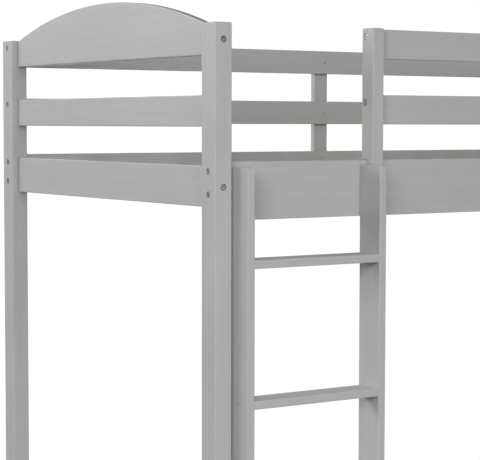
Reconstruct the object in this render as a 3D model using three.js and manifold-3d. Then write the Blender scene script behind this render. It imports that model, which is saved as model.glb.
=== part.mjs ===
// Loft bed with a desk under its right end, painted pine, bolted together.
// Millimetres, +Z up, +X to the right along the bed, +Y to the back.
// The origin is on the floor, midway along the bed and midway from its front to its back.
import * as THREE from "three";
import { mergeVertices } from "three/addons/utils/BufferGeometryUtils.js";
import Module from "manifold-3d";

const wasm = await Module();
wasm.setup();

// ---- Driving sizes -------------------------------------------------------------------------

const BED = { length: 2066, width: 1066, clearance: 1301 }; // over the posts; floor to front rail
const JOINT_GAP = 0.3; // between faces that meet
const BOARD = 19; // thickness of the rails, ladder boards and rungs
const EDGE = { board: 2, steps: 2 }; // softened long edges

const POST = { x: 44, y: 56, edge: 3, steps: 3, endBevel: 2.5 };
const SIDE_RAIL = { height: { front: 128, rear: 99.5 } }; // their tops are level
const GUARD = { height: 67.5, lowerGap: 80.75, upperGap: 82.25, belowPostTop: 1.5 };
const END_BOARDS = {
  recess: 16.5, // posts' outer faces to the boards' outer faces
  lower: { height: 90, belowRailTop: 9.5 },
  middle: { height: 68.5, gapBelow: 85 },
  arch: { gapBelow: 86.5, endBelowPostTop: 3, rise: 73, bevel: 2, steps: 28 },
};
const STRETCHER = { height: 68.5, bottom: 200 };
const SUPPORT_WIDTH = 47.5; // of the guards' middle uprights

const LADDER = {
  postGap: 2.7, // left board to the corner post
  clearWidth: 336,
  reach: 57.6, // in front of the posts' front faces
  belowRailTop: 11,
  rungs: 4,
  topStep: 210, // highest rung to the side rail's top
  rungDepth: 62,
  rungSetBack: 2,
};
const GUARD_POST = { x: 31.2, proud: 3.8, bevel: 2 }; // proud of the posts' front faces

const CLEAT = { width: 28, height: 28, aboveRearRailBottom: 2, endGap: 50 };
const SLAT = { count: 14, width: 70, thickness: 15, sideGap: 2, firstInset: 55 };

const DESK = {
  height: 740,
  depth: 395,
  topThickness: 20,
  leg: 44,
  legInset: 6, // from the edges of the top
  apron: { height: 70, recess: 6 },
};

const BOLT = {
  headDiameter: 12.5,
  headHeight: 3.5,
  headEdge: 0.6,
  headRecess: 1.5, // the head's top below the post's face
  counterboreDiameter: 15,
  shankDiameter: 6,
  bite: 50, // into the rail's end
  boreClearance: 0.4, // on the radius
  boreBeyondTip: 3,
  socketAcross: 5,
  socketDepth: 2.2,
  sides: 16,
  belowRailTop: [21, 71],
};

// ---- Places that several pieces share --------------------------------------------------------

const ends = { left: -1, right: 1 };
const faces = { front: -1, rear: 1 };
const railTop = BED.clearance + SIDE_RAIL.height.front;
const guardMiddleBottom = railTop + GUARD.lowerGap;
const guardTopBottom = guardMiddleBottom + GUARD.height + GUARD.upperGap;
const postHeight = guardTopBottom + GUARD.height + GUARD.belowPostTop;
const innerX = BED.length / 2 - POST.x; // posts' inner faces
const innerY = BED.width / 2 - POST.y;
const railMiddleY = BED.width / 2 - POST.y / 2; // rails run along the middle of the posts

// ---- Geometry helpers ------------------------------------------------------------------------

const NEXT_AXES = { x: ["y", "z", "x"], y: ["z", "x", "y"], z: ["x", "y", "z"] };
const UNIT = {
  x: new THREE.Vector3(1, 0, 0),
  y: new THREE.Vector3(0, 1, 0),
  z: new THREE.Vector3(0, 0, 1),
};

const span = (from, length) => [from, from + length];
const about = (middle, length) => [middle - length / 2, middle + length / 2];
const shrink = ([from, to], by) => [from + by, to - by];
const mirrored = (sign, [from, to]) => (sign < 0 ? [-to, -from] : [from, to]);
const middleOf = ([from, to]) => (from + to) / 2;

// Turns a shape extruded along its own z so that it runs along the axis asked for.
function turnAlong(geometry, along) {
  const [a, b, c] = NEXT_AXES[along].map((axis) => UNIT[axis]);
  return geometry.applyMatrix4(new THREE.Matrix4().makeBasis(a, b, c));
}

function roundedRectangle(width, height, radius) {
  const [x, y] = [width / 2, height / 2];
  const shape = new THREE.Shape();
  shape.absarc(x - radius, y - radius, radius, 0, Math.PI / 2);
  shape.absarc(radius - x, y - radius, radius, Math.PI / 2, Math.PI);
  shape.absarc(radius - x, radius - y, radius, Math.PI, 1.5 * Math.PI);
  shape.absarc(x - radius, radius - y, radius, 1.5 * Math.PI, 2 * Math.PI);
  return shape;
}

// Extrudes a shape through a thickness centred on zero, with bevelled rims inside its outline.
function extrudeCentred(shape, thickness, bevel, curveSegments) {
  const geometry = new THREE.ExtrudeGeometry(shape, {
    depth: thickness - 2 * bevel,
    bevelEnabled: bevel > 0,
    bevelThickness: bevel,
    bevelSize: bevel,
    bevelOffset: -bevel,
    bevelSegments: 2,
    curveSegments,
  });
  return geometry.translate(0, 0, bevel - thickness / 2);
}

function solidOf(geometry) {
  const bare = geometry.clone();
  bare.deleteAttribute("normal");
  bare.deleteAttribute("uv");
  const merged = mergeVertices(bare);
  const vertProperties = merged.getAttribute("position").array;
  const triVerts = new Uint32Array(merged.index.array);
  return new wasm.Manifold(new wasm.Mesh({ numProp: 3, vertProperties, triVerts }));
}

function geometryOf(solid) {
  const mesh = solid.getMesh();
  const geometry = new THREE.BufferGeometry();
  geometry.setAttribute("position", new THREE.BufferAttribute(mesh.vertProperties, 3));
  geometry.setIndex(new THREE.BufferAttribute(mesh.triVerts, 1));
  const flat = geometry.toNonIndexed();
  flat.computeVertexNormals();
  return flat;
}

// ---- Materials -------------------------------------------------------------------------------

const painted = () =>
  new THREE.MeshStandardMaterial({ color: 0xb6b7b5, roughness: 0.45, metalness: 0 });
const barePine = () =>
  new THREE.MeshStandardMaterial({ color: 0xd9bd8c, roughness: 0.7, metalness: 0 });
const plated = () =>
  new THREE.MeshStandardMaterial({ color: 0x9a9488, roughness: 0.35, metalness: 0.9 });

// ---- Piece helpers ---------------------------------------------------------------------------

const bed = new THREE.Group();

// A straight member with softened long edges, running along one axis and filling three spans.
function member(name, along, spans, options = {}) {
  const { edge = EDGE.board, steps = EDGE.steps, endBevel = 0, material = painted() } = options;
  const [width, height, length] = NEXT_AXES[along].map((axis) => spans[axis][1] - spans[axis][0]);
  const shape = roundedRectangle(width, height, edge);
  const geometry = turnAlong(extrudeCentred(shape, length, endBevel, steps), along);
  const mesh = new THREE.Mesh(geometry, material);
  mesh.name = name;
  mesh.position.set(middleOf(spans.x), middleOf(spans.y), middleOf(spans.z));
  bed.add(mesh);
  return mesh;
}

// Cuts a round bore along an axis, centred on a point given in the bed's frame.
function bore(mesh, along, centre, radius, length) {
  const drill = new THREE.CylinderGeometry(radius, radius, length, BOLT.sides);
  drill.rotateX(Math.PI / 2);
  turnAlong(drill, along);
  const local = centre.clone().sub(mesh.position);
  drill.translate(local.x, local.y, local.z);
  mesh.geometry = geometryOf(solidOf(mesh.geometry).subtract(solidOf(drill)));
}

// ---- Corner posts ----------------------------------------------------------------------------

const posts = {};
for (const [face, ySign] of Object.entries(faces)) {
  for (const [end, xSign] of Object.entries(ends)) {
    const name = `post_${face}_${end}`;
    const spans = {
      x: mirrored(xSign, span(innerX, POST.x)),
      y: mirrored(ySign, span(innerY, POST.y)),
      z: [0, postHeight],
    };
    posts[name] = member(name, "z", spans, { edge: POST.edge, steps: POST.steps, endBevel: POST.endBevel });
  }
}

// ---- End frames: lower rail, middle rail, arched board and low stretcher ----------------------

const endLowerBottom = railTop - END_BOARDS.lower.belowRailTop - END_BOARDS.lower.height;
const endLowerTop = endLowerBottom + END_BOARDS.lower.height;
const endMiddleBottom = endLowerTop + END_BOARDS.middle.gapBelow;
const archBottom = endMiddleBottom + END_BOARDS.middle.height + END_BOARDS.arch.gapBelow;
const archEndTop = postHeight - END_BOARDS.arch.endBelowPostTop;
const endBoardX = span(BED.length / 2 - END_BOARDS.recess - BOARD, BOARD);
const betweenPostsY = shrink([-innerY, innerY], JOINT_GAP);

// The arched board's outline: straight bottom and ends, and one arc over the top.
function archOutline(halfWidth, bottom, endTop, rise) {
  const radius = (halfWidth ** 2 + rise ** 2) / (2 * rise);
  const halfAngle = Math.asin(halfWidth / radius);
  const shape = new THREE.Shape();
  shape.moveTo(-halfWidth, bottom);
  shape.lineTo(halfWidth, bottom);
  shape.absarc(0, endTop + rise - radius, radius, Math.PI / 2 - halfAngle, Math.PI / 2 + halfAngle);
  shape.closePath();
  return shape;
}

for (const [end, xSign] of Object.entries(ends)) {
  const x = mirrored(xSign, endBoardX);
  const crossboard = (name, z) => member(`${name}_${end}`, "y", { x, y: betweenPostsY, z });

  crossboard("end_lower_rail", span(endLowerBottom, END_BOARDS.lower.height));
  crossboard("end_middle_rail", span(endMiddleBottom, END_BOARDS.middle.height));
  crossboard("end_stretcher", span(STRETCHER.bottom, STRETCHER.height));

  const { rise, bevel, steps } = END_BOARDS.arch;
  const outline = archOutline(betweenPostsY[1], 0, archEndTop - archBottom, rise);
  const arch = new THREE.Mesh(turnAlong(extrudeCentred(outline, BOARD, bevel, steps), "x"), painted());
  arch.name = `end_arch_board_${end}`;
  arch.position.set(middleOf(x), 0, archBottom);
  bed.add(arch);
}

// ---- Side rails, their cleats and the slats ---------------------------------------------------

const betweenPostsX = shrink([-innerX, innerX], JOINT_GAP);
const railY = about(railMiddleY, BOARD);
const cleatBottom = railTop - SIDE_RAIL.height.rear + CLEAT.aboveRearRailBottom;
const sideRails = {};
for (const [face, ySign] of Object.entries(faces)) {
  const z = [railTop - SIDE_RAIL.height[face], railTop];
  sideRails[face] = member(`side_rail_${face}`, "x", { x: betweenPostsX, y: mirrored(ySign, railY), z });
  const cleat = {
    x: shrink([-innerX, innerX], CLEAT.endGap),
    y: mirrored(ySign, span(railY[0] - JOINT_GAP - CLEAT.width, CLEAT.width)),
    z: span(cleatBottom, CLEAT.height),
  };
  member(`slat_cleat_${face}`, "x", cleat, { material: barePine() });
}

const slatBottom = cleatBottom + CLEAT.height + JOINT_GAP;
const slatPitch = (2 * (innerX - SLAT.firstInset) - SLAT.width) / (SLAT.count - 1);
for (let i = 0; i < SLAT.count; i++) {
  const slat = {
    x: span(SLAT.firstInset - innerX + i * slatPitch, SLAT.width),
    y: shrink([-railY[0], railY[0]], SLAT.sideGap),
    z: span(slatBottom, SLAT.thickness),
  };
  member(`slat_${String(i + 1).padStart(2, "0")}`, "y", slat, { material: barePine() });
}

// ---- Low rear stretcher ----------------------------------------------------------------------

member("rear_stretcher", "x", { x: betweenPostsX, y: railY, z: span(STRETCHER.bottom, STRETCHER.height) });

// ---- Ladder ----------------------------------------------------------------------------------

const ladderBack = -railY[1] - JOINT_GAP; // against the front side rail
const ladderFront = -BED.width / 2 - LADDER.reach;
const leftBoardX = span(-innerX + LADDER.postGap, BOARD);
const rightBoardX = span(leftBoardX[1] + LADDER.clearWidth, BOARD);
const ladderBoard = { y: [ladderFront, ladderBack], z: [0, railTop - LADDER.belowRailTop] };
member("ladder_side_left", "z", { x: leftBoardX, ...ladderBoard });
member("ladder_side_right", "z", { x: rightBoardX, ...ladderBoard });

const rungRise = (railTop - LADDER.topStep) / LADDER.rungs;
for (let i = 1; i <= LADDER.rungs; i++) {
  const rung = {
    x: shrink([leftBoardX[1], rightBoardX[0]], JOINT_GAP),
    y: span(ladderFront + LADDER.rungSetBack, LADDER.rungDepth),
    z: [i * rungRise - BOARD, i * rungRise],
  };
  member(`ladder_rung_${i}`, "x", rung);
}

// ---- Guards ----------------------------------------------------------------------------------

const guardPostX = span(rightBoardX[1] + JOINT_GAP, GUARD_POST.x);
const guardLevels = { middle: guardMiddleBottom, top: guardTopBottom };
const guardRuns = {
  front: [guardPostX[1] + JOINT_GAP, betweenPostsX[1]],
  rear: betweenPostsX,
};
for (const [face, ySign] of Object.entries(faces)) {
  const y = mirrored(ySign, railY);
  for (const [level, bottom] of Object.entries(guardLevels)) {
    member(`${face}_guard_${level}_rail`, "x", { x: guardRuns[face], y, z: span(bottom, GUARD.height) });
  }
  const support = {
    x: about(middleOf(guardRuns[face]), SUPPORT_WIDTH),
    y: mirrored(ySign, [railY[1] + JOINT_GAP, BED.width / 2]),
    z: [railTop - SIDE_RAIL.height[face], guardTopBottom + GUARD.height],
  };
  member(`${face}_guard_support`, "z", support);
}

// The guard post stands on the side rail, and a lip on its front laps down over the rail's face.
function guardPostOutline() {
  const lipFront = -BED.width / 2 - GUARD_POST.proud;
  const lipBack = -railY[1] - JOINT_GAP;
  const shape = new THREE.Shape();
  shape.moveTo(lipFront, BED.clearance);
  shape.lineTo(lipBack, BED.clearance);
  shape.lineTo(lipBack, railTop + JOINT_GAP);
  shape.lineTo(-railY[0], railTop + JOINT_GAP);
  shape.lineTo(-railY[0], postHeight);
  shape.lineTo(lipFront, postHeight);
  shape.closePath();
  return shape;
}
const guardPostGeometry = extrudeCentred(guardPostOutline(), GUARD_POST.x, GUARD_POST.bevel, 1);
const guardPost = new THREE.Mesh(turnAlong(guardPostGeometry, "x"), painted());
guardPost.name = "guard_post";
guardPost.position.x = middleOf(guardPostX);
bed.add(guardPost);

// ---- Desk between the right posts --------------------------------------------------------------

const deskUnderside = DESK.height - DESK.topThickness;
const deskTopX = span(endBoardX[1] - DESK.depth, DESK.depth);
member(
  "desk_top",
  "y",
  { x: deskTopX, y: betweenPostsY, z: [deskUnderside, DESK.height] },
  { edge: 4, steps: 3 },
);

const apronZ = [deskUnderside - JOINT_GAP - DESK.apron.height, deskUnderside - JOINT_GAP];
const legX = span(deskTopX[0] + DESK.legInset, DESK.leg);
const legY = span(betweenPostsY[1] - DESK.legInset - DESK.leg, DESK.leg);
for (const [face, ySign] of Object.entries(faces)) {
  const leg = { x: legX, y: mirrored(ySign, legY), z: [0, apronZ[1]] };
  member(`desk_leg_${face}`, "z", leg, { edge: POST.edge, steps: POST.steps });
  const apron = {
    x: [legX[1] + JOINT_GAP, endBoardX[0] - JOINT_GAP],
    y: mirrored(ySign, span(legY[1] - DESK.apron.recess - BOARD, BOARD)),
    z: apronZ,
  };
  member(`desk_apron_${face}`, "x", apron);
}
const betweenLegsY = shrink([-legY[0], legY[0]], JOINT_GAP);
member("desk_apron_inner", "y", { x: span(legX[0] + DESK.apron.recess, BOARD), y: betweenLegsY, z: apronZ });
member("desk_end_rail", "y", { x: endBoardX, y: betweenPostsY, z: apronZ });

// ---- Bolts of the side rails -------------------------------------------------------------------

// A flat-headed bolt with a hexagon socket; its shank points along -y and its seat is at zero.
function boltGeometry(length) {
  const head = BOLT.headDiameter / 2;
  const profile = [
    [0, -length],
    [BOLT.shankDiameter / 2 - 1, -length],
    [BOLT.shankDiameter / 2, 1 - length],
    [BOLT.shankDiameter / 2, 0],
    [head, 0],
    [head, BOLT.headHeight - BOLT.headEdge],
    [head - BOLT.headEdge, BOLT.headHeight],
    [0, BOLT.headHeight],
  ].map(([radius, y]) => new THREE.Vector2(radius, y));
  const turned = new THREE.LatheGeometry(profile, BOLT.sides);
  const corner = BOLT.socketAcross / Math.sqrt(3);
  const socket = new THREE.CylinderGeometry(corner, corner, 2 * BOLT.socketDepth, 6);
  socket.translate(0, BOLT.headHeight, 0);
  return geometryOf(solidOf(turned).subtract(solidOf(socket)));
}

const seatDepth = BOLT.headRecess + BOLT.headHeight;
const boltLength = POST.x - seatDepth + BOLT.bite;
const boreRadius = BOLT.shankDiameter / 2 + BOLT.boreClearance;
const boreLength = 2 * (POST.x + BOLT.bite + BOLT.boreBeyondTip); // centred on the post's face
const counterboreLength = 2 * (seatDepth + JOINT_GAP);
for (const [face, ySign] of Object.entries(faces)) {
  for (const [end, xSign] of Object.entries(ends)) {
    BOLT.belowRailTop.forEach((drop, i) => {
      const mouth = new THREE.Vector3((xSign * BED.length) / 2, ySign * railMiddleY, railTop - drop);
      const post = posts[`post_${face}_${end}`];
      bore(post, "x", mouth, boreRadius, boreLength);
      bore(post, "x", mouth, BOLT.counterboreDiameter / 2, counterboreLength);
      bore(sideRails[face], "x", mouth, boreRadius, boreLength);

      const bolt = new THREE.Mesh(boltGeometry(boltLength), plated());
      bolt.name = `rail_bolt_${face}_${end}_${i + 1}`;
      bolt.quaternion.setFromUnitVectors(UNIT.y, UNIT.x.clone().multiplyScalar(xSign));
      bolt.position.copy(mouth);
      bolt.position.x -= xSign * seatDepth;
      bed.add(bolt);
    });
  }
}

// The ladder stands out in front of the posts, so the bed sits a little behind the origin.
bed.position.y = LADDER.reach / 2;

const root = new THREE.Group();
root.name = "loft_bed_with_desk";
root.add(bed);
export default root;
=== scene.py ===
import math

import bmesh
import bpy
from mathutils import Matrix, Vector


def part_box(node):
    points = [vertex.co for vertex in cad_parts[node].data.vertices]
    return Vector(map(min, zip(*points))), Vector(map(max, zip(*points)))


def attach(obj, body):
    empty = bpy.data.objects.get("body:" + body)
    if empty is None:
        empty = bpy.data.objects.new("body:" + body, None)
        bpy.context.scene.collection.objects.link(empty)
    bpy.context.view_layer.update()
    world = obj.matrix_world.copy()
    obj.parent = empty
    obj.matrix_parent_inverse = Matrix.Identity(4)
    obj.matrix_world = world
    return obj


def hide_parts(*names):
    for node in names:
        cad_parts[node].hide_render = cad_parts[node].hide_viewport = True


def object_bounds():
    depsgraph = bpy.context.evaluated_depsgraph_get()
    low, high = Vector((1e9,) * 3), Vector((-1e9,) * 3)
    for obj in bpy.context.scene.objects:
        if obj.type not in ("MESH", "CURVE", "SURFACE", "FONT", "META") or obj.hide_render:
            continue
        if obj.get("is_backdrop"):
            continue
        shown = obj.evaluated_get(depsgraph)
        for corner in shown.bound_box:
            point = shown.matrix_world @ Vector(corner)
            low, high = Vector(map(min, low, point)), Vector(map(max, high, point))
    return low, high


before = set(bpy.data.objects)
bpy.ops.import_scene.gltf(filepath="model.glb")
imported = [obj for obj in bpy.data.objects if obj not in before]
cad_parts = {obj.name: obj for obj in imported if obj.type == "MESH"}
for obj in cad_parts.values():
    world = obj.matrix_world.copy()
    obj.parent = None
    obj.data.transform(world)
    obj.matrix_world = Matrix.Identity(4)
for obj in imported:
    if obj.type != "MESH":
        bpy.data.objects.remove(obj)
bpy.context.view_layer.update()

# Corner posts. Four upright pine legs, 44 by 56 mm, with their long edges rounded over and the top
# and bottom rims eased, under a satin light grey lacquer, sprayed on thinly enough for the grain
# to show as faint streaks. Each is bored from outside for the bolts of the rails that meet it.

AXES = "xyz"
POST_EDGE = 0.0032
POST_RIM = 0.0025
PAINT_TONES = [(0.40, (0.424, 0.425, 0.424)), (0.75, (0.452, 0.453, 0.452)), (1.0, (0.476, 0.477, 0.476))]


def socket(tree, name, kind, way="INPUT", default=None):
    """A named input or output of a node group."""
    made = tree.interface.new_socket(name=name, in_out=way, socket_type="NodeSocket" + kind)
    if default is not None:
        made.default_value = default
    return made


def node(tree, kind, links=None, **settings):
    """A node with its properties set and its inputs linked or given a value, by name."""
    made = tree.nodes.new(kind)
    for key, value in settings.items():
        setattr(made, key, value)
    for key, value in (links or {}).items():
        target = made.inputs[key]
        if isinstance(value, bpy.types.NodeSocket):
            tree.links.new(value, target)
        else:
            target.default_value = value
    return made


def wood_grain_group():
    """Growth rings and fibres of a plank that runs along the incoming vector's x, in metres."""
    tree = bpy.data.node_groups.new("wood_grain", "ShaderNodeTree")
    socket(tree, "Vector", "Vector")
    socket(tree, "Ring Density", "Float", default=22.0)
    socket(tree, "Fibre Density", "Float", default=260.0)
    for name in ("Rings", "Fibres", "Blotches"):
        socket(tree, name, "Float", "OUTPUT")
    given = node(tree, "NodeGroupInput").outputs
    stretched = node(tree, "ShaderNodeMapping", {"Vector": given["Vector"], "Scale": (0.05, 1.0, 1.0)})
    long = stretched.outputs[0]
    wander = node(tree, "ShaderNodeTexNoise", {"Vector": long, "Scale": 9.0, "Detail": 2.0, "Roughness": 0.4})
    sway = node(tree, "ShaderNodeVectorMath", {0: wander.outputs["Color"], "Scale": 0.05}, operation="SCALE")
    swayed = node(tree, "ShaderNodeVectorMath", {0: long, 1: sway.outputs[0]}, operation="ADD")
    rings = node(
        tree,
        "ShaderNodeTexWave",
        {
            "Vector": swayed.outputs[0],
            "Scale": given["Ring Density"],
            "Distortion": 1.2,
            "Detail": 2.0,
            "Detail Scale": 1.0,
        },
        bands_direction="DIAGONAL",
        wave_profile="SIN",
    )
    drawn = node(tree, "ShaderNodeMapping", {"Vector": given["Vector"], "Scale": (0.012, 1.0, 1.0)})
    fibres = node(
        tree,
        "ShaderNodeTexNoise",
        {"Vector": drawn.outputs[0], "Scale": given["Fibre Density"], "Detail": 4.0, "Roughness": 0.6},
    )
    blotches = node(
        tree, "ShaderNodeTexNoise", {"Vector": long, "Scale": 11.0, "Detail": 4.0, "Roughness": 0.55}
    )
    node(
        tree,
        "NodeGroupOutput",
        {"Rings": rings.outputs["Fac"], "Fibres": fibres.outputs["Fac"], "Blotches": blotches.outputs["Fac"]},
    )
    return tree


def sprayed_film_group():
    """The lacquer over the wood: a faint orange peel, and patches that lighten or dull the paint."""
    tree = bpy.data.node_groups.new("sprayed_film", "ShaderNodeTree")
    socket(tree, "Vector", "Vector")
    socket(tree, "Peel Scale", "Float", default=420.0)
    for name in ("Peel", "Patches"):
        socket(tree, name, "Float", "OUTPUT")
    given = node(tree, "NodeGroupInput").outputs
    peel = node(
        tree, "ShaderNodeTexNoise", {"Vector": given["Vector"], "Scale": given["Peel Scale"], "Detail": 2.0}
    )
    patches = node(
        tree, "ShaderNodeTexNoise", {"Vector": given["Vector"], "Scale": 5.0, "Detail": 5.0, "Roughness": 0.6}
    )
    node(tree, "NodeGroupOutput", {"Peel": peel.outputs["Fac"], "Patches": patches.outputs["Fac"]})
    return tree


wood_grain = wood_grain_group()
sprayed_film = sprayed_film_group()


def surface(name):
    """A new material with one Principled shader, and its tree."""
    material = bpy.data.materials.new(name)
    material.use_nodes = True
    tree = material.node_tree
    tree.nodes.clear()
    shader = node(tree, "ShaderNodeBsdfPrincipled")
    node(tree, "ShaderNodeOutputMaterial", {"Surface": shader.outputs["BSDF"]})
    return material, tree, shader


def along_grain(tree, axis):
    """Object coordinates turned so that the plank's long axis is x."""
    place = node(tree, "ShaderNodeTexCoord")
    turn = {"x": (0.0, 0.0, 0.0), "y": (0.0, 0.0, -math.pi / 2), "z": (0.0, math.pi / 2, 0.0)}[axis]
    return node(tree, "ShaderNodeMapping", {"Vector": place.outputs["Object"], "Rotation": turn})


def mixed(tree, factor, low, high):
    """A value that goes from low to high as the factor goes from 0 to 1."""
    spread = node(tree, "ShaderNodeMapRange", {"Value": factor, "To Min": low, "To Max": high}, clamp=True)
    return spread.outputs[0]


def weighted(tree, value, weight, added):
    """One pattern times its weight, added to another."""
    total = node(tree, "ShaderNodeMath", {0: value, 1: weight, 2: added}, operation="MULTIPLY_ADD")
    return total.outputs[0]


def raised(tree, shader, height, strength, distance):
    """Lets a pattern stand up from the surface, by a distance in metres."""
    bump = node(tree, "ShaderNodeBump", {"Height": height, "Strength": strength, "Distance": distance})
    tree.links.new(bump.outputs[0], shader.inputs["Normal"])


def ramp(tree, factor, stops):
    """A colour that runs through the stops, each a place from 0 to 1 and a colour."""
    made = node(tree, "ShaderNodeValToRGB", {"Fac": factor})
    elements = made.color_ramp.elements
    while len(elements) < len(stops):
        elements.new(0.5)
    for element, (at, colour) in zip(elements, stops):
        element.position = at
        element.color = (*colour, 1.0)
    return made.outputs["Color"]


def placed_group(tree, group, vector, **values):
    """A shared effect placed in a material, with its own values."""
    made = tree.nodes.new("ShaderNodeGroup")
    made.node_tree = group
    tree.links.new(vector, made.inputs["Vector"])
    for name, value in values.items():
        made.inputs[name.replace("_", " ")].default_value = value
    return made.outputs


def painted_pine(axis):
    """Satin grey lacquer over pine whose grain runs along one axis."""
    material, tree, shader = surface("painted_pine_" + axis)
    plank = along_grain(tree, axis).outputs[0]
    grain = placed_group(tree, wood_grain, plank)
    film = placed_group(tree, sprayed_film, plank)
    streaks = weighted(tree, grain["Rings"], 0.10, grain["Fibres"])
    tone = weighted(tree, film["Patches"], 0.5, streaks)
    tree.links.new(ramp(tree, tone, PAINT_TONES), shader.inputs["Base Color"])
    tree.links.new(mixed(tree, film["Patches"], 0.34, 0.50), shader.inputs["Roughness"])
    shader.inputs["Specular IOR Level"].default_value = 0.42
    raised(tree, shader, weighted(tree, grain["Fibres"], 1.6, film["Peel"]), 0.15, 0.0004)
    return material


paint = {axis: painted_pine(axis) for axis in AXES}


def corner_arc(before, corner, after, radius, steps):
    """The points that round one corner of an outline."""
    if radius <= 0:
        return [corner]
    back, ahead = (before - corner).normalized(), (after - corner).normalized()
    half = back.angle(ahead) / 2
    start = corner + back * (radius / math.tan(half))
    centre = corner + (back + ahead).normalized() * (radius / math.sin(half))
    sweep = (start - centre).angle_signed(corner + ahead * (radius / math.tan(half)) - centre)
    arm = start - centre
    return [centre + Matrix.Rotation(-sweep * i / steps, 2) @ arm for i in range(steps + 1)]


def rounded_outline(corners, radii, steps=5):
    """A closed outline, each corner rounded to its own radius."""
    corners = [Vector(c) for c in corners]
    points = []
    for i, (corner, radius) in enumerate(zip(corners, radii)):
        points += corner_arc(corners[i - 1], corner, corners[(i + 1) % len(corners)], radius, steps)
    return points


def link_piece(name, mesh, material):
    """A new object at the origin, in one material."""
    piece = bpy.data.objects.new(name, mesh)
    bpy.context.scene.collection.objects.link(piece)
    piece.data.materials.clear()
    piece.data.materials.append(material)
    return piece


def soften(piece):
    """Smooth shading that keeps the flats flat and the crisp edges crisp."""
    for polygon in piece.data.polygons:
        polygon.use_smooth = True
    piece.data.set_sharp_from_angle(angle=math.radians(32))
    flat_faces = piece.modifiers.new("flat_faces", "WEIGHTED_NORMAL")
    flat_faces.keep_sharp = True


def sawn(name, outline, axis, low, high, rim, material):
    """A closed solid: an outline in the two other axes, run along one axis, its end rims rounded."""
    order = AXES.index(axis)
    a, b = (order + 1) % 3, (order + 2) % 3
    bm = bmesh.new()
    ring = []
    for u, v in outline:
        place = [0.0, 0.0, 0.0]
        place[order], place[a], place[b] = low, u, v
        ring.append(bm.verts.new(place))
    base = bm.faces.new(ring)
    drawn_out = bmesh.ops.extrude_face_region(bm, geom=[base])
    shift = Vector((0, 0, 0))
    shift[order] = high - low
    top = [e for e in drawn_out["geom"] if isinstance(e, bmesh.types.BMVert)]
    bmesh.ops.translate(bm, vec=shift, verts=top)
    bmesh.ops.recalc_face_normals(bm, faces=bm.faces)
    caps = [f for f in bm.faces if len(f.verts) == len(ring) and abs(f.normal[order]) > 0.99]
    bmesh.ops.bevel(
        bm,
        geom=list(dict.fromkeys(e for f in caps for e in f.edges)),
        offset=rim,
        segments=4,
        profile=0.5,
        affect="EDGES",
        clamp_overlap=False,
    )
    mesh = bpy.data.meshes.new(name)
    bm.to_mesh(mesh)
    bm.free()
    return link_piece(name, mesh, material)


def member(name, node_name, axis, edge, rim):
    """A straight piece that fills a CAD node's box, long edges rounded, in paint along its grain."""
    low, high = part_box(node_name)
    order = AXES.index(axis)
    a, b = (order + 1) % 3, (order + 2) % 3
    corners = [(low[a], low[b]), (high[a], low[b]), (high[a], high[b]), (low[a], high[b])]
    return sawn(name, rounded_outline(corners, [edge] * 4), axis, low[order], high[order], rim, paint[axis])


def fit(piece, *nodes):
    """The finished piece stands for these CAD nodes: it is smoothed, put under the root body, and they are
    hidden.
    """
    soften(piece)
    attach(piece, "root")
    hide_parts(*nodes)


COUNTERBORE_RADIUS = 0.0075
COUNTERBORE_DEPTH = 0.005


def drilled(piece, mouths):
    """Cuts a flat-bottomed counterbore into a piece at each bolt's mouth."""
    bm = bmesh.new()
    for mouth, out in mouths:
        turn = Vector(out).to_track_quat("Z", "Y").to_matrix().to_4x4()
        bmesh.ops.create_cone(
            bm,
            cap_ends=True,
            segments=36,
            radius1=COUNTERBORE_RADIUS,
            radius2=COUNTERBORE_RADIUS,
            depth=2 * COUNTERBORE_DEPTH,
            matrix=Matrix.Translation(mouth) @ turn,
        )
    mesh = bpy.data.meshes.new("drill")
    bm.to_mesh(mesh)
    bm.free()
    drill = bpy.data.objects.new("drill", mesh)
    bpy.context.scene.collection.objects.link(drill)
    cut = piece.modifiers.new("bores", "BOOLEAN")
    cut.operation = "DIFFERENCE"
    cut.solver = "EXACT"
    cut.object = drill
    graph = bpy.context.evaluated_depsgraph_get()
    bored = bpy.data.meshes.new_from_object(piece.evaluated_get(graph))
    piece.modifiers.remove(cut)
    piece.data = bored
    bpy.data.objects.remove(drill)
    return piece


RAIL_BOLT_DROPS = (0.021, 0.071)  # below the side rails' tops
GUARD_BOLT_DROP = 0.017  # below each guard rail's top
ARCH_BOLT_RISE = 0.032  # above the arched board's lower edge
END_BOLT_INSET = 0.022  # from the posts' outer faces
NUT_FROM_END = 0.034  # along the rail that the bolt pulls in
bolt_mouths = []  # a point on the wood's face, and the direction out of the wood
nut_mouths = []


def middle(node_name):
    """The centre of a CAD node's box."""
    low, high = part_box(node_name)
    return (low + high) / 2


def bolt_along_x(post, rail, sign, z):
    """A bolt through a post's end face into the end of a rail that runs along the bed."""
    post_low, post_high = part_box(post)
    rail_low, rail_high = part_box(rail)
    y = middle(rail).y
    face = post_high.x if sign > 0 else post_low.x
    mouth = (Vector((face, y, z)), Vector((sign, 0, 0)))
    bolt_mouths.append(mouth)
    end = rail_high.x if sign > 0 else rail_low.x
    inner = rail_high.y if y < 0 else rail_low.y
    nut_mouths.append((Vector((end - sign * NUT_FROM_END, inner, z)), Vector((0, 1 if y < 0 else -1, 0))))
    return mouth


def bolt_along_y(post, rail, sign, z):
    """A bolt through a post's front or back into the end of a board that runs across the bed."""
    post_low, post_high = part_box(post)
    rail_low, rail_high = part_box(rail)
    right = middle(rail).x > 0
    x = post_high.x - END_BOLT_INSET if right else post_low.x + END_BOLT_INSET
    face = post_high.y if sign > 0 else post_low.y
    mouth = (Vector((x, face, z)), Vector((0, sign, 0)))
    bolt_mouths.append(mouth)
    end = rail_high.y if sign > 0 else rail_low.y
    inner = rail_low.x if right else rail_high.x
    nut_mouths.append((Vector((inner, end - sign * NUT_FROM_END, z)), Vector((-1 if right else 1, 0, 0))))
    return mouth


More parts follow.
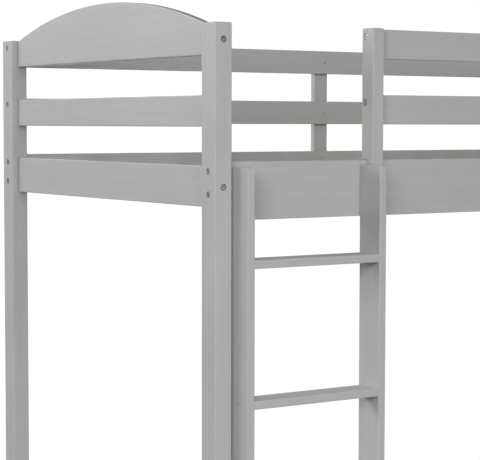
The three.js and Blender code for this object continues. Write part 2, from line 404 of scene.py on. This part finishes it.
for face, y_sign in (("front", -1), ("rear", 1)):
    for end, x_sign in (("left", -1), ("right", 1)):
        post = f"post_{face}_{end}"
        side_rail = f"side_rail_{face}"
        rail_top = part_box(side_rail)[1].z
        bores = [bolt_along_x(post, side_rail, x_sign, rail_top - drop) for drop in RAIL_BOLT_DROPS]
        if face == "rear" or end == "right":
            for level in ("top", "middle"):
                guard = f"{face}_guard_{level}_rail"
                bores.append(bolt_along_x(post, guard, x_sign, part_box(guard)[1].z - GUARD_BOLT_DROP))
        if face == "rear":
            bores.append(bolt_along_x(post, "rear_stretcher", x_sign, middle("rear_stretcher").z))
        arch = f"end_arch_board_{end}"
        bores.append(bolt_along_y(post, arch, y_sign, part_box(arch)[0].z + ARCH_BOLT_RISE))
        for rail in (f"end_lower_rail_{end}", f"end_stretcher_{end}"):
            bores.append(bolt_along_y(post, rail, y_sign, middle(rail).z))
        if end == "right":
            bores.append(bolt_along_y(post, "desk_end_rail", y_sign, middle("desk_end_rail").z))
        leg = member(f"corner_{post}", post, "z", POST_EDGE, POST_RIM)
        fit(drilled(leg, bores), post)


# Ends. Each pair of posts is joined by a board with an arched top, a middle rail, a lower rail and
# a low stretcher, all planed boards let in between the posts and bolted, the middle rail on dowels.
# The arch is bandsawn, and its up-facing curved edge is painted darker: painted shade over its grain.

BOARD_EDGE = 0.002
BOARD_RIM = 0.0006
ARCH_RIM = 0.0028
ARCH_END_DROP = 0.003  # the arch's ends below the posts' tops
ARC_STEPS = 72
# painted shade: greys well below the paint's own, for the arch's up-facing edge
ARCH_EDGE_SHADE_TONES = [(0.6, (0.23, 0.23, 0.23)), (1.2, (0.31, 0.31, 0.31))]


def board(name, node_name, axis):
    """A planed and painted board with softened long edges."""
    return member(name, node_name, axis, BOARD_EDGE, BOARD_RIM)


def arch_edge_painted_shade():
    """The paint on the arch's up-facing edge, darkened as painted shade, and duller and rougher."""
    material, tree, shader = surface("arch_edge_painted_shade")
    plank = along_grain(tree, "y").outputs[0]
    grain = placed_group(tree, wood_grain, plank, Fibre_Density=700.0)
    film = placed_group(tree, sprayed_film, plank)
    # grain and patches vary the tone inside the painted shade
    edge_shade = weighted(tree, grain["Fibres"], 0.8, film["Patches"])
    tree.links.new(ramp(tree, edge_shade, ARCH_EDGE_SHADE_TONES), shader.inputs["Base Color"])
    tree.links.new(mixed(tree, film["Patches"], 0.60, 0.75), shader.inputs["Roughness"])
    raised(tree, shader, grain["Fibres"], 0.3, 0.0004)
    return material


arch_edge_shade_paint = arch_edge_painted_shade()
for end in ("left", "right"):
    for rail in ("end_middle_rail", "end_lower_rail", "end_stretcher"):
        fit(board(f"{rail}_board_{end}", f"{rail}_{end}", "y"), f"{rail}_{end}")

    arch = f"end_arch_board_{end}"
    low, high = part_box(arch)
    half_width = (high.y - low.y) / 2
    centre_y = (high.y + low.y) / 2
    arch_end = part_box(f"post_front_{end}")[1].z - ARCH_END_DROP
    rise = high.z - arch_end
    radius = (half_width**2 + rise**2) / (2 * rise)
    half_angle = math.asin(half_width / radius)
    outline = [(low.y, low.z), (high.y, low.z)]
    for i in range(ARC_STEPS + 1):
        angle = half_angle * (1 - 2 * i / ARC_STEPS)
        outline.append((centre_y + radius * math.sin(angle), high.z - radius * (1 - math.cos(angle))))
    arched = sawn(f"arched_board_{end}", outline, "x", low.x, high.x, ARCH_RIM, paint["y"])
    # the arch's up-facing faces take the darker paint, which stands in for shade
    arched.data.materials.append(arch_edge_shade_paint)
    for polygon in arched.data.polygons:
        polygon.material_index = 1 if polygon.normal.z > 0.9 else 0
    fit(arched, arch)


# Side rails. Two deep planed boards that carry the slats, bolted end on into the posts, and a low
# stretcher between the rear legs. The front one is bored from inside for the ladder's bolts.

LADDER_BOLT_DROP = 0.034  # below the front rail's top
LADDER_BOLT_RISE = 0.014  # above its lower edge

low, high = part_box("side_rail_front")
ladder_bolts = []
for side in ("left", "right"):
    for z in (high.z - LADDER_BOLT_DROP, low.z + LADDER_BOLT_RISE):
        ladder_bolts.append((Vector((middle(f"ladder_side_{side}").x, high.y, z)), Vector((0, 1, 0))))
bolt_mouths += ladder_bolts
fit(drilled(board("front_side_rail_board", "side_rail_front", "x"), ladder_bolts), "side_rail_front")
fit(board("rear_side_rail_board", "side_rail_rear", "x"), "side_rail_rear")
fit(board("rear_stretcher_board", "rear_stretcher", "x"), "rear_stretcher")


# Guards. Two planed rails along each side above the mattress, with a flat upright at mid span that
# is screwed from inside to the rails' outer faces and to the side rail.

UPRIGHT_RIM = 0.0015
SUPPORT_SCREW_DROP = 0.02  # below the side rails' tops

screw_mouths = []
for face, y_sign in (("front", -1), ("rear", 1)):
    upright = f"{face}_guard_support"
    side_rail = f"side_rail_{face}"
    heights = {}
    for level in ("top", "middle"):
        guard = f"{face}_guard_{level}_rail"
        fit(board(f"{guard}_board", guard, "x"), guard)
        heights[guard] = middle(guard).z
    heights[side_rail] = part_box(side_rail)[1].z - SUPPORT_SCREW_DROP
    for rail, z in heights.items():
        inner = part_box(rail)[0 if y_sign > 0 else 1].y
        screw_mouths.append((Vector((middle(upright).x, inner, z)), Vector((0, -y_sign, 0))))
    fit(member(f"{face}_guard_upright", upright, "z", BOARD_EDGE, UPRIGHT_RIM), upright)


# Guard post. The short post beside the ladder's opening, cut in an L so that its lower half laps
# over the front rail's outer face. It is bolted to the rail and to the ends of both guard rails.

GUARD_POST_EDGE = 0.0022
GUARD_POST_RIM = 0.002
GUARD_BOLT_FORWARD = 0.0028  # of the guard rails' middles
LAP_BOLT_DROP = 0.034  # below the front rail's top
LAP_BOLT_RISE = 0.030  # above its lower edge
LAP_GAP = 0.0003  # between the post and the rail

low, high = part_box("guard_post")
rail_low, rail_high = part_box("side_rail_front")
step_y = rail_low.y - LAP_GAP
step_z = rail_high.z + LAP_GAP
profile = [
    (low.y, low.z),
    (step_y, low.z),
    (step_y, step_z),
    (high.y, step_z),
    (high.y, high.z),
    (low.y, high.z),
]
radii = [GUARD_POST_EDGE, GUARD_POST_EDGE, 0.0, GUARD_POST_EDGE, GUARD_POST_EDGE, GUARD_POST_EDGE]
outline = rounded_outline(profile, radii)
guard_post = sawn("guard_post_upright", outline, "x", low.x, high.x, GUARD_POST_RIM, paint["z"])
post_bores = []
for level in ("top", "middle"):
    guard = f"front_guard_{level}_rail"
    guard_low, guard_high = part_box(guard)
    z = guard_high.z - GUARD_BOLT_DROP
    post_bores.append((Vector((low.x, middle(guard).y - GUARD_BOLT_FORWARD, z)), Vector((-1, 0, 0))))
    nut_mouths.append((Vector((guard_low.x + NUT_FROM_END, guard_high.y, z)), Vector((0, 1, 0))))
for z in (rail_high.z - LAP_BOLT_DROP, rail_low.z + LAP_BOLT_RISE):
    post_bores.append((Vector(((low.x + high.x) / 2, low.y, z)), Vector((0, -1, 0))))
bolt_mouths += post_bores
fit(drilled(guard_post, post_bores), "guard_post")


# Slats and cleats. Bare pine: a square cleat is screwed along the inside of each side rail, and
# fourteen planed slats lie across the cleats, held by one screw at each end.

SLAT_EDGE = 0.003
SLAT_SCREW_INSET = 0.016
CLEAT_RIM = 0.001
PINE_TONES = [(0.45, (0.77, 0.68, 0.535)), (0.80, (0.71, 0.605, 0.455)), (1.0, (0.61, 0.495, 0.345))]


def bare_pine(axis):
    """Planed pine without a finish, its grain along one axis."""
    material, tree, shader = surface("bare_pine_" + axis)
    grain = placed_group(tree, wood_grain, along_grain(tree, axis).outputs[0], Ring_Density=26.0)
    tone = weighted(tree, grain["Blotches"], 0.35, weighted(tree, grain["Rings"], 0.30, grain["Fibres"]))
    tree.links.new(ramp(tree, tone, PINE_TONES), shader.inputs["Base Color"])
    tree.links.new(mixed(tree, grain["Blotches"], 0.55, 0.75), shader.inputs["Roughness"])
    raised(tree, shader, grain["Fibres"], 0.3, 0.0004)
    return material


def finish(tree, instances, material):
    """Ends a tree: the instances become real, in one material."""
    real = node(tree, "GeometryNodeRealizeInstances", {0: instances.outputs[0]})
    made = node(tree, "GeometryNodeSetMaterial", {"Geometry": real.outputs[0], "Material": material})
    node(tree, "NodeGroupOutput", {"Geometry": made.outputs[0]})


def bar_row_tree():
    """A row of like bars with rounded long edges: each runs along y before it is turned."""
    tree = bpy.data.node_groups.new("bar_row", "GeometryNodeTree")
    tree.is_modifier = True
    socket(tree, "Geometry", "Geometry", "OUTPUT")
    socket(tree, "Count", "Int", default=4)
    socket(tree, "Start", "Vector")
    socket(tree, "Step", "Vector")
    socket(tree, "Turn", "Float", default=0.0)
    socket(tree, "Length", "Float", default=0.3)
    socket(tree, "Width", "Float", default=0.06)
    socket(tree, "Thickness", "Float", default=0.02)
    socket(tree, "Edge Radius", "Float", default=0.003)
    socket(tree, "Finish", "Material")
    given = node(tree, "NodeGroupInput").outputs
    places = node(
        tree,
        "GeometryNodeMeshLine",
        {"Count": given["Count"], "Start Location": given["Start"], "Offset": given["Step"]},
        mode="OFFSET",
    )
    half = node(tree, "ShaderNodeMath", {0: given["Length"], 1: 0.5}, operation="MULTIPLY")
    minus = node(tree, "ShaderNodeMath", {0: given["Length"], 1: -0.5}, operation="MULTIPLY")
    near = node(tree, "ShaderNodeCombineXYZ", {"Y": minus.outputs[0]})
    far = node(tree, "ShaderNodeCombineXYZ", {"Y": half.outputs[0]})
    run = node(tree, "GeometryNodeCurvePrimitiveLine", {"Start": near.outputs[0], "End": far.outputs[0]})
    section = node(
        tree,
        "GeometryNodeCurvePrimitiveQuadrilateral",
        {"Width": given["Width"], "Height": given["Thickness"]},
    )
    rounded = node(
        tree,
        "GeometryNodeFilletCurve",
        {"Curve": section.outputs[0], "Radius": given["Edge Radius"], "Count": 5},
        mode="POLY",
    )
    bar = node(
        tree,
        "GeometryNodeCurveToMesh",
        {"Curve": run.outputs[0], "Profile Curve": rounded.outputs[0], "Fill Caps": True},
    )
    turn = node(tree, "ShaderNodeCombineXYZ", {"Z": given["Turn"]})
    laid = node(
        tree,
        "GeometryNodeInstanceOnPoints",
        {"Points": places.outputs[0], "Instance": bar.outputs[0], "Rotation": turn.outputs[0]},
    )
    finish(tree, laid, given["Finish"])
    return tree


def grown(name, tree, values, points=None):
    """Runs a Geometry Nodes tree and returns its result as a plain closed mesh with outward faces."""
    holder = bpy.data.objects.new(name, points or bpy.data.meshes.new(name))
    bpy.context.scene.collection.objects.link(holder)
    modifier = holder.modifiers.new("grow", "NODES")
    modifier.node_group = tree
    for item in tree.interface.items_tree:
        if item.in_out == "INPUT" and item.name in values:
            modifier[item.identifier] = values[item.name]
    graph = bpy.context.evaluated_depsgraph_get()
    mesh = bpy.data.meshes.new_from_object(holder.evaluated_get(graph))
    holder.modifiers.remove(modifier)
    bm = bmesh.new()
    bm.from_mesh(mesh)
    bmesh.ops.remove_doubles(bm, verts=bm.verts, dist=1e-6)
    bmesh.ops.recalc_face_normals(bm, faces=bm.faces)
    bm.to_mesh(mesh)
    bm.free()
    holder.data = mesh
    return holder


bar_row = bar_row_tree()
slat_nodes = sorted(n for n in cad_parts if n.startswith("slat_") and "cleat" not in n)
first = middle(slat_nodes[0])
second = middle(slat_nodes[1])
low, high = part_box(slat_nodes[0])
slats = grown(
    "slats",
    bar_row,
    {
        "Count": len(slat_nodes),
        "Start": first,
        "Step": second - first,
        "Length": high.y - low.y,
        "Width": high.x - low.x,
        "Thickness": high.z - low.z,
        "Edge Radius": SLAT_EDGE,
        "Finish": bare_pine("y"),
    },
)
soften(slats)
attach(slats, "root")
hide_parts(*slat_nodes)
slat_screws = []
for slat in slat_nodes:
    low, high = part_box(slat)
    for y in (low.y + SLAT_SCREW_INSET, high.y - SLAT_SCREW_INSET):
        slat_screws.append((Vector(((low.x + high.x) / 2, y, high.z)), Vector((0, 0, 1))))

cleat_pine = bare_pine("x")
for face in ("front", "rear"):
    cleat = member(f"cleat_{face}", f"slat_cleat_{face}", "x", BOARD_EDGE, CLEAT_RIM)
    cleat.data.materials[0] = cleat_pine
    soften(cleat)
    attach(cleat, "root")
    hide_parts(f"slat_cleat_{face}")


# Ladder. Two upright boards with rounded front edges stand against the front side rail, bolted from
# inside it, and four flat treads are housed between them with a screw through each board.

LADDER_EDGES = [0.0025, 0.0025, 0.0025, 0.009]  # lower front, lower back, upper back, upper front
LADDER_RIM = 0.0022
TREAD_EDGE = 0.002

for side in ("left", "right"):
    node_name = f"ladder_side_{side}"
    low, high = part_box(node_name)
    corners = [(low.y, low.z), (high.y, low.z), (high.y, high.z), (low.y, high.z)]
    outline = rounded_outline(corners, LADDER_EDGES)
    fit(sawn(f"ladder_board_{side}", outline, "x", low.x, high.x, LADDER_RIM, paint["z"]), node_name)

tread_nodes = sorted(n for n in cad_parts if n.startswith("ladder_rung_"))
first = middle(tread_nodes[0])
second = middle(tread_nodes[1])
low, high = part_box(tread_nodes[0])
treads = grown(
    "ladder_treads",
    bar_row,
    {
        "Count": len(tread_nodes),
        "Start": first,
        "Step": second - first,
        "Turn": math.pi / 2,
        "Length": high.x - low.x,
        "Width": high.y - low.y,
        "Thickness": high.z - low.z,
        "Edge Radius": TREAD_EDGE,
        "Finish": paint["x"],
    },
)
fit(treads, *tread_nodes)
for tread in tread_nodes:
    for side, out in (("left", -1), ("right", 1)):
        board_low, board_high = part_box(f"ladder_side_{side}")
        x = board_low.x if out < 0 else board_high.x
        y = (board_low.y + board_high.y) / 2
        screw_mouths.append((Vector((x, y, middle(tread).z)), Vector((out, 0, 0))))


# Desk. A painted top on a half frame: two legs and three aprons at its open side, and at the bed's
# right end a rail bolted between the corner posts, which carries the back of the top.

DESK_TOP_EDGE = 0.004
LEG_RIM = 0.002
LEG_BOLT_OFFSET = 0.014  # one bolt above the aprons' middle and one below, so that they miss

fit(member("desk_top_board", "desk_top", "y", DESK_TOP_EDGE, DESK_TOP_EDGE), "desk_top")
for face, y_sign in (("front", -1), ("rear", 1)):
    leg_low, leg_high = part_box(f"desk_leg_{face}")
    apron = middle(f"desk_apron_{face}")
    outer = leg_high.y if y_sign > 0 else leg_low.y
    leg_bores = [
        (Vector((leg_low.x, apron.y, apron.z + LEG_BOLT_OFFSET)), Vector((-1, 0, 0))),
        (Vector((middle("desk_apron_inner").x, outer, apron.z - LEG_BOLT_OFFSET)), Vector((0, y_sign, 0))),
    ]
    bolt_mouths += leg_bores
    leg = member(f"desk_leg_{face}_post", f"desk_leg_{face}", "z", POST_EDGE, LEG_RIM)
    fit(drilled(leg, leg_bores), f"desk_leg_{face}")
    fit(board(f"desk_apron_{face}_board", f"desk_apron_{face}", "x"), f"desk_apron_{face}")
fit(board("desk_apron_inner_board", "desk_apron_inner", "y"), "desk_apron_inner")
rail_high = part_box("desk_end_rail")[1]
rail_bores = [
    (Vector((rail_high.x, middle(f"desk_apron_{face}").y, middle("desk_end_rail").z)), Vector((1, 0, 0)))
    for face in ("front", "rear")
]
bolt_mouths += rail_bores
fit(drilled(board("desk_end_rail_board", "desk_end_rail", "y"), rail_bores), "desk_end_rail")


# Fixings. Dull nickel connector bolts with a hexagon socket sit just below the wood in counterbores,
# barrel nuts with a slot close the far side of each joint, and small cross-head screws hold the rest.

PLATE_ROUGHNESS = 0.34


def plated_steel(name, light, dark):
    """Plated steel, tarnished in small patches and finely scratched."""
    material, tree, shader = surface(name)
    place = node(tree, "ShaderNodeTexCoord").outputs["Object"]
    patches = node(tree, "ShaderNodeTexNoise", {"Vector": place, "Scale": 260.0, "Detail": 4.0})
    tarnish = patches.outputs["Fac"]
    tree.links.new(ramp(tree, tarnish, [(0.3, dark), (0.7, light)]), shader.inputs["Base Color"])
    dulled = mixed(tree, tarnish, PLATE_ROUGHNESS - 0.08, PLATE_ROUGHNESS + 0.12)
    tree.links.new(dulled, shader.inputs["Roughness"])
    shader.inputs["Metallic"].default_value = 1.0
    scratches = node(tree, "ShaderNodeTexNoise", {"Vector": place, "Scale": 1400.0, "Detail": 2.0})
    raised(tree, shader, scratches.outputs["Fac"], 0.15, 0.0002)
    return material


def fixing_tree(name, recess):
    """A head with an eased rim, its driving recess and a shank, set on each point along its out vector."""
    tree = bpy.data.node_groups.new(name, "GeometryNodeTree")
    tree.is_modifier = True
    socket(tree, "Geometry", "Geometry", "OUTPUT")
    socket(tree, "Geometry", "Geometry")
    for label, default in (
        ("Head Diameter", 0.0125),
        ("Head Height", 0.0035),
        ("Rim", 0.0006),
        ("Recess Across", 0.005),
        ("Recess Depth", 0.0022),
        ("Shank Diameter", 0.006),
        ("Shank Length", 0.03),
        ("Sink", 0.0015),
    ):
        socket(tree, label, "Float", default=default)
    socket(tree, "Finish", "Material")
    given = node(tree, "NodeGroupInput").outputs

    def maths(operation, first, second=0.0):
        return node(tree, "ShaderNodeMath", {0: first, 1: second}, operation=operation).outputs[0]

    def lifted(geometry, height):
        offset = node(tree, "ShaderNodeCombineXYZ", {"Z": height}).outputs[0]
        return node(tree, "GeometryNodeTransform", {"Geometry": geometry, "Translation": offset}).outputs[0]

    def by_ring(*values):
        """One value for each ring of the turned rod, from its tip to its face."""
        made = node(tree, "GeometryNodeIndexSwitch", {"Index": ring.outputs[0]}, data_type="FLOAT")
        for _ in values[2:]:
            made.index_switch_items.new()
        for index, value in enumerate(values):
            if isinstance(value, bpy.types.NodeSocket):
                tree.links.new(value, made.inputs[index + 1])
        return made.outputs[0]

    head_radius = maths("MULTIPLY", given["Head Diameter"], 0.5)
    shank_radius = maths("MULTIPLY", given["Shank Diameter"], 0.5)
    top = maths("MULTIPLY", given["Sink"], -1.0)
    base = maths("SUBTRACT", top, given["Head Height"])
    shoulder = maths("SUBTRACT", top, given["Rim"])
    face_radius = maths("SUBTRACT", head_radius, given["Rim"])
    tip = maths("SUBTRACT", base, given["Shank Length"])
    rod = node(
        tree, "GeometryNodeMeshCylinder", {"Vertices": 36, "Side Segments": 4, "Radius": 1.0, "Depth": 4.0}
    )
    where = node(tree, "GeometryNodeInputPosition")
    parts = node(tree, "ShaderNodeSeparateXYZ", {"Vector": where.outputs[0]}).outputs
    ring = node(tree, "ShaderNodeMath", {0: maths("ADD", parts["Z"], 2.0)}, operation="ROUND")
    radius = by_ring(shank_radius, shank_radius, head_radius, head_radius, face_radius)
    height = by_ring(tip, base, base, shoulder, top)
    moved = node(
        tree,
        "ShaderNodeCombineXYZ",
        {"X": maths("MULTIPLY", parts["X"], radius), "Y": maths("MULTIPLY", parts["Y"], radius), "Z": height},
    )
    turned = node(
        tree, "GeometryNodeSetPosition", {"Geometry": rod.outputs["Mesh"], "Position": moved.outputs[0]}
    )

    cut = node(tree, "GeometryNodeMeshBoolean", {"Mesh 1": turned.outputs[0]}, operation="DIFFERENCE")
    deep = maths("MULTIPLY", given["Recess Depth"], 2.0)
    if recess == "hexagon":
        corner = maths("MULTIPLY", given["Recess Across"], 1 / math.sqrt(3))
        tool = node(tree, "GeometryNodeMeshCylinder", {"Vertices": 6, "Radius": corner, "Depth": deep})
        tree.links.new(lifted(tool.outputs["Mesh"], top), cut.inputs["Mesh 2"])
    else:
        slot_width = maths("MULTIPLY", given["Recess Across"], 0.24)
        sizes = [(given["Recess Across"], slot_width, deep)]
        if recess == "cross":
            sizes.append((slot_width, given["Recess Across"], maths("MULTIPLY", deep, 0.9)))
        for size_x, size_y, size_z in sizes:
            size = node(tree, "ShaderNodeCombineXYZ", {"X": size_x, "Y": size_y, "Z": size_z})
            tool = node(tree, "GeometryNodeMeshCube", {"Size": size.outputs[0]}).outputs["Mesh"]
            tree.links.new(lifted(tool, top), cut.inputs["Mesh 2"])

    out = node(tree, "GeometryNodeInputNamedAttribute", {"Name": "out"}, data_type="FLOAT_VECTOR")
    turn = node(tree, "FunctionNodeAlignRotationToVector", {"Vector": out.outputs["Attribute"]}, axis="Z")
    placed = node(
        tree,
        "GeometryNodeInstanceOnPoints",
        {"Points": given["Geometry"], "Instance": cut.outputs["Mesh"], "Rotation": turn.outputs[0]},
    )
    finish(tree, placed, given["Finish"])
    return tree


def fixings(name, tree, mouths, values):
    """One fixing at each mouth, all of them one piece."""
    points = bpy.data.meshes.new(name + "_points")
    points.from_pydata([mouth for mouth, _ in mouths], [], [])
    out = points.attributes.new("out", "FLOAT_VECTOR", "POINT")
    for item, (_, direction) in zip(out.data, mouths):
        item.vector = direction
    piece = grown(name, tree, values, points)
    soften(piece)
    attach(piece, "root")
    return piece


nickel = plated_steel("dull_nickel", light=(0.58, 0.56, 0.49), dark=(0.40, 0.38, 0.33))
zinc = plated_steel("zinc_plate", light=(0.62, 0.62, 0.61), dark=(0.42, 0.42, 0.42))
bolts = fixings("connector_bolts", fixing_tree("socket_bolt", "hexagon"), bolt_mouths, {"Finish": nickel})
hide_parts(*sorted(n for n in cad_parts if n.startswith("rail_bolt_")))
fixings(
    "barrel_nuts",
    fixing_tree("barrel_nut", "slot"),
    nut_mouths,
    {
        "Head Diameter": 0.010,
        "Head Height": 0.004,
        "Rim": 0.0004,
        "Recess Across": 0.0085,
        "Recess Depth": 0.0012,
        "Shank Diameter": 0.0095,
        "Shank Length": 0.008,
        "Sink": -0.0003,
        "Finish": nickel,
    },
)
fixings(
    "cross_head_screws",
    fixing_tree("cross_head_screw", "cross"),
    screw_mouths + slat_screws,
    {
        "Head Diameter": 0.0075,
        "Head Height": 0.0016,
        "Rim": 0.0004,
        "Recess Across": 0.0042,
        "Recess Depth": 0.0010,
        "Shank Diameter": 0.0035,
        "Shank Length": 0.012,
        "Sink": -0.0004,
        "Finish": zinc,
    },
)


# Studio. A wide pale floor that melts into a white surround, lit by an even white room and by broad
# soft panels: the main one in front and a little to the left, weaker ones at the sides and behind.

FLOOR_REACH = 80.0
BACKDROP_WHITE = 1.02
WALLS = 0.308
PANELS = {  # place, what it faces, width and height, watts
    "key_panel": ((-1.6, -5.4, 3.0), (-0.4, -0.5, 1.4), (2.4, 1.4), 93.0),
    "low_front_panel": ((-1.0, -4.0, 0.3), (0.0, 0.0, 1.2), (3.0, 0.5), 16.0),
    "front_left_panel": ((-4.2, -3.6, 2.6), (-1.0, 0.0, 1.5), (2.0, 1.6), 82.0),
    "left_panel": ((-4.9, 2.1, 2.9), (-1.0, -0.4, 1.4), (1.8, 1.6), 88.0),
    "rear_left_panel": ((-3.9, 4.4, 3.6), (-1.0, 0.0, 1.7), (2.6, 2.2), 89.0),
    "rear_panel": ((0.8, 5.0, 1.6), (0.0, 0.0, 1.2), (3.0, 2.4), 55.0),
    "right_panel": ((5.0, 0.4, 1.6), (0.0, 0.0, 1.2), (3.0, 2.4), 45.0),
}
floor_mesh = bpy.data.meshes.new("studio_floor")
bm = bmesh.new()
bmesh.ops.create_circle(bm, cap_ends=True, segments=96, radius=FLOOR_REACH)
bm.to_mesh(floor_mesh)
bm.free()
floor_paint, tree, shader = surface("pale_floor")
shader.inputs["Roughness"].default_value = 0.85
place = node(tree, "ShaderNodeTexCoord")
scuffs = node(tree, "ShaderNodeTexNoise", {"Vector": place.outputs["Object"], "Scale": 1.3, "Detail": 3.0})
pale = ramp(tree, scuffs.outputs["Fac"], [(0.3, (0.80, 0.80, 0.80)), (0.7, (0.83, 0.83, 0.83))])
tree.links.new(pale, shader.inputs["Base Color"])
reach = node(tree, "ShaderNodeVectorMath", {0: place.outputs["Object"]}, operation="LENGTH")
away = node(
    tree,
    "ShaderNodeMapRange",
    {"Value": reach.outputs["Value"], "From Min": 1.2, "From Max": 2.7},
    interpolation_type="SMOOTHSTEP",
)
looking = node(tree, "ShaderNodeLightPath")
seen = mixed(tree, looking.outputs["Is Camera Ray"], 0.0, BACKDROP_WHITE)
glow = node(tree, "ShaderNodeEmission", {"Strength": seen})
blend = node(tree, "ShaderNodeMixShader", {0: away.outputs[0], 1: shader.outputs[0], 2: glow.outputs[0]})
tree.links.new(blend.outputs[0], tree.nodes["Material Output"].inputs["Surface"])
floor = link_piece("studio_floor", floor_mesh, floor_paint)
floor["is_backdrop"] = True

world = bpy.data.worlds.new("studio_surround")
bpy.context.scene.world = world
world.use_nodes = True
sky = world.node_tree
sky.nodes.clear()
looking = node(sky, "ShaderNodeLightPath")
level = mixed(sky, looking.outputs["Is Camera Ray"], WALLS, BACKDROP_WHITE)
around = node(sky, "ShaderNodeBackground", {"Color": (1.0, 1.0, 1.0, 1.0), "Strength": level})
node(sky, "ShaderNodeOutputWorld", {"Surface": around.outputs[0]})

for name, (place, faces, size, power) in PANELS.items():
    light = bpy.data.lights.new(name, "AREA")
    light.shape = "RECTANGLE"
    light.size, light.size_y = size
    light.energy = power
    panel = bpy.data.objects.new(name, light)
    panel.location = place
    panel.rotation_euler = (Vector(faces) - Vector(place)).to_track_quat("-Z", "Y").to_euler()
    panel.visible_camera = False
    bpy.context.scene.collection.objects.link(panel)

scene = bpy.context.scene
scene.view_settings.view_transform = "Standard"
scene.view_settings.look = "None"


# Camera. A long lens at a standing person's eye height, three and a half metres from the corner by
# the ladder, aimed a little down at the upper part of the bed.

EYE = Vector((-2.9175, -3.5050, 1.5125))
HEADING = math.radians(32.999)
DIP = math.radians(3.697)
TILT = math.radians(0.084)
camera_data = bpy.data.cameras.new("camera")
camera_data.sensor_width = 36.0
camera_data.lens = 124.11
camera_data.clip_end = 400.0
camera = bpy.data.objects.new("camera", camera_data)
scene.collection.objects.link(camera)
camera.location = EYE
ahead = Vector((math.sin(HEADING) * math.cos(DIP), math.cos(HEADING) * math.cos(DIP), -math.sin(DIP)))
level = Vector((math.cos(HEADING), -math.sin(HEADING), 0.0))
up = level.cross(ahead)
right = level * math.cos(TILT) + up * math.sin(TILT)
up = right.cross(ahead)
camera.rotation_mode = "QUATERNION"
camera.rotation_quaternion = Matrix((right, up, -ahead)).transposed().to_quaternion()
scene.camera = camera

low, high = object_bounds()
